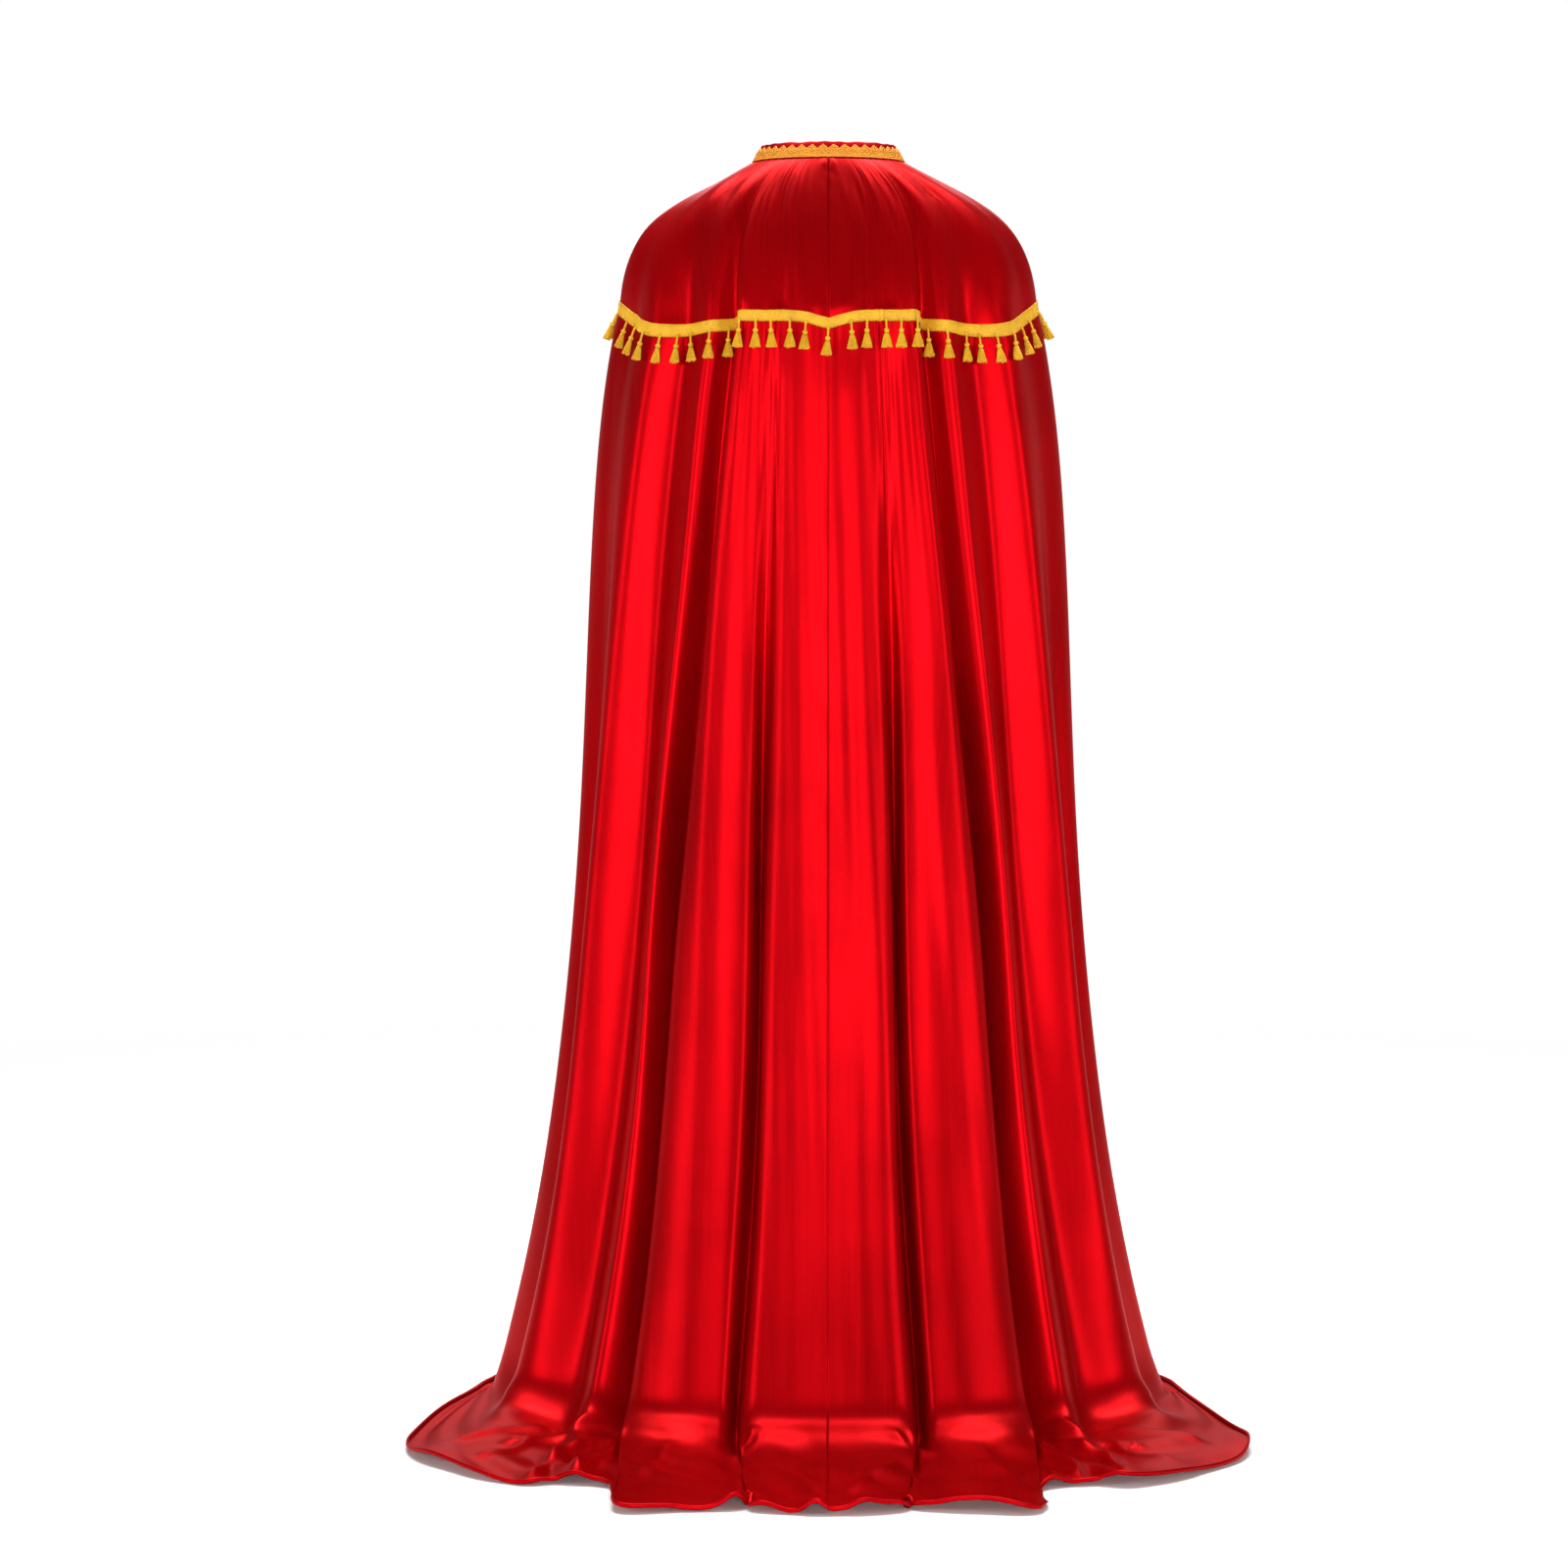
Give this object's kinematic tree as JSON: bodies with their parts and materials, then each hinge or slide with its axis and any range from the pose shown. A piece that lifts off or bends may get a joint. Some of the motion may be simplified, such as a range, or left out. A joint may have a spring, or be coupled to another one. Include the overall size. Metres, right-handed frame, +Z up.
{
  "type": "superhero cape",
  "caption": "Floor-length satin costume cape: gathered skirt with a train, shoulder yoke, stand neckband with lace braid, and tassel fringe.",
  "frame": {"origin": "middle of the neckband's lower edge, where the cape sits round the wearer's neck", "axes": "+Z up, +Y out of the wearer's back, -Y the wearer's front, +X the wearer's left"},
  "size_m": [0.9916, 0.8898, 1.555],
  "materials": {
    "satin": "red polyester satin, glossy face",
    "facing_satin": "dark red satin, dull side",
    "interfacing": "white non-woven stiffener",
    "gold_lace": "orange-gold lace braid with metallic thread",
    "gold_tape": "ribbed yellow-gold fringe tape",
    "tassel_thread": "twisted rayon thread",
    "hook_wire": "nickel-plated wire"
  },
  "bodies": {
    "back": {"neckband_outer": "satin", "neckband_interfacing": "interfacing", "neckband_facing": "facing_satin", "neck_braid": "gold_lace", "neck_hook": "hook_wire", "neck_eye": "hook_wire", "fringe_tape_back": "gold_tape", "yoke_back_left": "satin", "yoke_back_right": "satin", "skirt_back_left": "satin", "skirt_back_right": "satin"},
    "front_left": {"yoke_front_left": "satin", "skirt_front_left": "satin", "fringe_tape_front_left": "gold_tape"},
    "front_right": {"yoke_front_right": "satin", "skirt_front_right": "satin", "fringe_tape_front_right": "gold_tape"},
    "tassel_back_centre": {"tassel_back_centre": "tassel_thread"},
    "tassel_back_left_01": {"tassel_back_left_01": "tassel_thread"},
    "tassel_back_left_02": {"tassel_back_left_02": "tassel_thread"},
    "tassel_back_left_03": {"tassel_back_left_03": "tassel_thread"},
    "tassel_back_left_04": {"tassel_back_left_04": "tassel_thread"},
    "tassel_back_left_05": {"tassel_back_left_05": "tassel_thread"},
    "tassel_back_left_06": {"tassel_back_left_06": "tassel_thread"},
    "tassel_back_left_07": {"tassel_back_left_07": "tassel_thread"},
    "tassel_back_left_08": {"tassel_back_left_08": "tassel_thread"},
    "tassel_back_left_09": {"tassel_back_left_09": "tassel_thread"},
    "tassel_back_left_10": {"tassel_back_left_10": "tassel_thread"},
    "tassel_back_left_11": {"tassel_back_left_11": "tassel_thread"},
    "tassel_back_left_12": {"tassel_back_left_12": "tassel_thread"},
    "tassel_back_left_13": {"tassel_back_left_13": "tassel_thread"},
    "tassel_back_left_14": {"tassel_back_left_14": "tassel_thread"},
    "tassel_front_left_1": {"tassel_front_left_1": "tassel_thread"},
    "tassel_front_left_2": {"tassel_front_left_2": "tassel_thread"},
    "tassel_front_left_3": {"tassel_front_left_3": "tassel_thread"},
    "tassel_front_left_4": {"tassel_front_left_4": "tassel_thread"},
    "tassel_front_left_5": {"tassel_front_left_5": "tassel_thread"},
    "tassel_front_left_6": {"tassel_front_left_6": "tassel_thread"},
    "tassel_front_left_7": {"tassel_front_left_7": "tassel_thread"},
    "tassel_back_right_01": {"tassel_back_right_01": "tassel_thread"},
    "tassel_back_right_02": {"tassel_back_right_02": "tassel_thread"},
    "tassel_back_right_03": {"tassel_back_right_03": "tassel_thread"},
    "tassel_back_right_04": {"tassel_back_right_04": "tassel_thread"},
    "tassel_back_right_05": {"tassel_back_right_05": "tassel_thread"},
    "tassel_back_right_06": {"tassel_back_right_06": "tassel_thread"},
    "tassel_back_right_07": {"tassel_back_right_07": "tassel_thread"},
    "tassel_back_right_08": {"tassel_back_right_08": "tassel_thread"},
    "tassel_back_right_09": {"tassel_back_right_09": "tassel_thread"},
    "tassel_back_right_10": {"tassel_back_right_10": "tassel_thread"},
    "tassel_back_right_11": {"tassel_back_right_11": "tassel_thread"},
    "tassel_back_right_12": {"tassel_back_right_12": "tassel_thread"},
    "tassel_back_right_13": {"tassel_back_right_13": "tassel_thread"},
    "tassel_back_right_14": {"tassel_back_right_14": "tassel_thread"},
    "tassel_front_right_1": {"tassel_front_right_1": "tassel_thread"},
    "tassel_front_right_2": {"tassel_front_right_2": "tassel_thread"},
    "tassel_front_right_3": {"tassel_front_right_3": "tassel_thread"},
    "tassel_front_right_4": {"tassel_front_right_4": "tassel_thread"},
    "tassel_front_right_5": {"tassel_front_right_5": "tassel_thread"},
    "tassel_front_right_6": {"tassel_front_right_6": "tassel_thread"},
    "tassel_front_right_7": {"tassel_front_right_7": "tassel_thread"}
  },
  "joints": [
    {"name": "front_left_open", "type": "hinge", "parent": "back", "child": "front_left", "pos_m": [0.2786, 0, -0.178], "axis": [-0.1185, 0, 0.9929], "range_deg": [0, 60]},
    {"name": "front_right_open", "type": "hinge", "parent": "back", "child": "front_right", "pos_m": [-0.2786, 0, -0.178], "axis": [-0.1185, 0, -0.9929], "range_deg": [0, 60]},
    {"name": "back_centre_swing", "type": "hinge", "parent": "back", "child": "tassel_back_centre", "pos_m": [-0.00007, 0.15262, -0.20997], "axis": [1, 0, 0], "range_deg": [0, 70]},
    {"name": "back_left_01_swing", "type": "hinge", "parent": "back", "child": "tassel_back_left_01", "pos_m": [0.02725, 0.15195, -0.20254], "axis": [0.9983, -0.0579, 0], "range_deg": [0, 70]},
    {"name": "back_left_02_swing", "type": "hinge", "parent": "back", "child": "tassel_back_left_02", "pos_m": [0.04652, 0.14819, -0.20031], "axis": [0.9951, -0.0989, 0], "range_deg": [0, 70]},
    {"name": "back_left_03_swing", "type": "hinge", "parent": "back", "child": "tassel_back_left_03", "pos_m": [0.06953, 0.14422, -0.2], "axis": [0.9884, -0.152, 0], "range_deg": [0, 70]},
    {"name": "back_left_04_swing", "type": "hinge", "parent": "back", "child": "tassel_back_left_04", "pos_m": [0.08758, 0.14378, -0.2], "axis": [0.9807, -0.1956, 0], "range_deg": [0, 70]},
    {"name": "back_left_05_swing", "type": "hinge", "parent": "back", "child": "tassel_back_left_05", "pos_m": [0.10756, 0.13852, -0.19948], "axis": [0.9711, -0.2387, 0], "range_deg": [0, 70]},
    {"name": "back_left_06_swing", "type": "hinge", "parent": "back", "child": "tassel_back_left_06", "pos_m": [0.1208, 0.11395, -0.21004], "axis": [0.9525, -0.3045, 0], "range_deg": [0, 70]},
    {"name": "back_left_07_swing", "type": "hinge", "parent": "back", "child": "tassel_back_left_07", "pos_m": [0.14368, 0.1235, -0.21196], "axis": [0.9375, -0.3479, 0], "range_deg": [0, 70]},
    {"name": "back_left_08_swing", "type": "hinge", "parent": "back", "child": "tassel_back_left_08", "pos_m": [0.16762, 0.09814, -0.2153], "axis": [0.8979, -0.4402, 0], "range_deg": [0, 70]},
    {"name": "back_left_09_swing", "type": "hinge", "parent": "back", "child": "tassel_back_left_09", "pos_m": [0.18377, 0.09062, -0.21642], "axis": [0.8541, -0.5201, 0], "range_deg": [0, 70]},
    {"name": "back_left_10_swing", "type": "hinge", "parent": "back", "child": "tassel_back_left_10", "pos_m": [0.20529, 0.0897, -0.21623], "axis": [0.8055, -0.5926, 0], "range_deg": [0, 70]},
    {"name": "back_left_11_swing", "type": "hinge", "parent": "back", "child": "tassel_back_left_11", "pos_m": [0.227, 0.07521, -0.21249], "axis": [0.7219, -0.692, 0], "range_deg": [0, 70]},
    {"name": "back_left_12_swing", "type": "hinge", "parent": "back", "child": "tassel_back_left_12", "pos_m": [0.23772, 0.0519, -0.20514], "axis": [0.5891, -0.808, 0], "range_deg": [0, 70]},
    {"name": "back_left_13_swing", "type": "hinge", "parent": "back", "child": "tassel_back_left_13", "pos_m": [0.24804, 0.0336, -0.19602], "axis": [0.3942, -0.919, 0], "range_deg": [0, 70]},
    {"name": "back_left_14_swing", "type": "hinge", "parent": "back", "child": "tassel_back_left_14", "pos_m": [0.26154, 0.01236, -0.18515], "axis": [0.1297, -0.9916, 0], "range_deg": [0, 70]},
    {"name": "front_left_1_swing", "type": "hinge", "parent": "front_left", "child": "tassel_front_left_1", "pos_m": [0.25983, -0.01264, -0.18201], "axis": [-0.1365, -0.9906, 0], "range_deg": [0, 70]},
    {"name": "front_left_2_swing", "type": "hinge", "parent": "front_left", "child": "tassel_front_left_2", "pos_m": [0.24596, -0.02876, -0.18803], "axis": [-0.3923, -0.9199, 0], "range_deg": [0, 70]},
    {"name": "front_left_3_swing", "type": "hinge", "parent": "front_left", "child": "tassel_front_left_3", "pos_m": [0.24189, -0.05516, -0.19266], "axis": [-0.6163, -0.7875, 0], "range_deg": [0, 70]},
    {"name": "front_left_4_swing", "type": "hinge", "parent": "front_left", "child": "tassel_front_left_4", "pos_m": [0.21781, -0.0718, -0.19613], "axis": [-0.7454, -0.6666, 0], "range_deg": [0, 70]},
    {"name": "front_left_5_swing", "type": "hinge", "parent": "front_left", "child": "tassel_front_left_5", "pos_m": [0.19539, -0.08833, -0.20012], "axis": [-0.8504, -0.5261, 0], "range_deg": [0, 70]},
    {"name": "front_left_6_swing", "type": "hinge", "parent": "front_left", "child": "tassel_front_left_6", "pos_m": [0.16926, -0.10825, -0.20293], "axis": [-0.9049, -0.4256, 0], "range_deg": [0, 70]},
    {"name": "front_left_7_swing", "type": "hinge", "parent": "front_left", "child": "tassel_front_left_7", "pos_m": [0.14442, -0.11579, -0.20498], "axis": [-0.9414, -0.3373, 0], "range_deg": [0, 70]},
    {"name": "back_right_01_swing", "type": "hinge", "parent": "back", "child": "tassel_back_right_01", "pos_m": [-0.02725, 0.15195, -0.20254], "axis": [0.9983, 0.0579, 0], "range_deg": [0, 70]},
    {"name": "back_right_02_swing", "type": "hinge", "parent": "back", "child": "tassel_back_right_02", "pos_m": [-0.04652, 0.14819, -0.20031], "axis": [0.9951, 0.0989, 0], "range_deg": [0, 70]},
    {"name": "back_right_03_swing", "type": "hinge", "parent": "back", "child": "tassel_back_right_03", "pos_m": [-0.06953, 0.14422, -0.2], "axis": [0.9884, 0.152, 0], "range_deg": [0, 70]},
    {"name": "back_right_04_swing", "type": "hinge", "parent": "back", "child": "tassel_back_right_04", "pos_m": [-0.08758, 0.14378, -0.2], "axis": [0.9807, 0.1956, 0], "range_deg": [0, 70]},
    {"name": "back_right_05_swing", "type": "hinge", "parent": "back", "child": "tassel_back_right_05", "pos_m": [-0.10756, 0.13852, -0.19948], "axis": [0.9711, 0.2387, 0], "range_deg": [0, 70]},
    {"name": "back_right_06_swing", "type": "hinge", "parent": "back", "child": "tassel_back_right_06", "pos_m": [-0.1208, 0.11395, -0.21004], "axis": [0.9525, 0.3045, 0], "range_deg": [0, 70]},
    {"name": "back_right_07_swing", "type": "hinge", "parent": "back", "child": "tassel_back_right_07", "pos_m": [-0.14368, 0.1235, -0.21196], "axis": [0.9375, 0.3479, 0], "range_deg": [0, 70]},
    {"name": "back_right_08_swing", "type": "hinge", "parent": "back", "child": "tassel_back_right_08", "pos_m": [-0.16762, 0.09814, -0.2153], "axis": [0.8979, 0.4402, 0], "range_deg": [0, 70]},
    {"name": "back_right_09_swing", "type": "hinge", "parent": "back", "child": "tassel_back_right_09", "pos_m": [-0.18377, 0.09062, -0.21642], "axis": [0.8541, 0.5201, 0], "range_deg": [0, 70]},
    {"name": "back_right_10_swing", "type": "hinge", "parent": "back", "child": "tassel_back_right_10", "pos_m": [-0.20529, 0.0897, -0.21623], "axis": [0.8055, 0.5925, 0], "range_deg": [0, 70]},
    {"name": "back_right_11_swing", "type": "hinge", "parent": "back", "child": "tassel_back_right_11", "pos_m": [-0.227, 0.07521, -0.21249], "axis": [0.7219, 0.692, 0], "range_deg": [0, 70]},
    {"name": "back_right_12_swing", "type": "hinge", "parent": "back", "child": "tassel_back_right_12", "pos_m": [-0.23772, 0.0519, -0.20514], "axis": [0.5891, 0.8081, 0], "range_deg": [0, 70]},
    {"name": "back_right_13_swing", "type": "hinge", "parent": "back", "child": "tassel_back_right_13", "pos_m": [-0.24804, 0.0336, -0.19602], "axis": [0.3942, 0.919, 0], "range_deg": [0, 70]},
    {"name": "back_right_14_swing", "type": "hinge", "parent": "back", "child": "tassel_back_right_14", "pos_m": [-0.26154, 0.01236, -0.18515], "axis": [0.1297, 0.9916, 0], "range_deg": [0, 70]},
    {"name": "front_right_1_swing", "type": "hinge", "parent": "front_right", "child": "tassel_front_right_1", "pos_m": [-0.25983, -0.01264, -0.18201], "axis": [-0.1365, 0.9906, 0], "range_deg": [0, 70]},
    {"name": "front_right_2_swing", "type": "hinge", "parent": "front_right", "child": "tassel_front_right_2", "pos_m": [-0.24596, -0.02876, -0.18803], "axis": [-0.3923, 0.9198, 0], "range_deg": [0, 70]},
    {"name": "front_right_3_swing", "type": "hinge", "parent": "front_right", "child": "tassel_front_right_3", "pos_m": [-0.24189, -0.05516, -0.19266], "axis": [-0.6163, 0.7875, 0], "range_deg": [0, 70]},
    {"name": "front_right_4_swing", "type": "hinge", "parent": "front_right", "child": "tassel_front_right_4", "pos_m": [-0.21781, -0.0718, -0.19613], "axis": [-0.7454, 0.6666, 0], "range_deg": [0, 70]},
    {"name": "front_right_5_swing", "type": "hinge", "parent": "front_right", "child": "tassel_front_right_5", "pos_m": [-0.19539, -0.08833, -0.20012], "axis": [-0.8504, 0.5261, 0], "range_deg": [0, 70]},
    {"name": "front_right_6_swing", "type": "hinge", "parent": "front_right", "child": "tassel_front_right_6", "pos_m": [-0.16926, -0.10825, -0.20293], "axis": [-0.9049, 0.4256, 0], "range_deg": [0, 70]},
    {"name": "front_right_7_swing", "type": "hinge", "parent": "front_right", "child": "tassel_front_right_7", "pos_m": [-0.14442, -0.11579, -0.20498], "axis": [-0.9414, 0.3373, 0], "range_deg": [0, 70]}
  ]
}
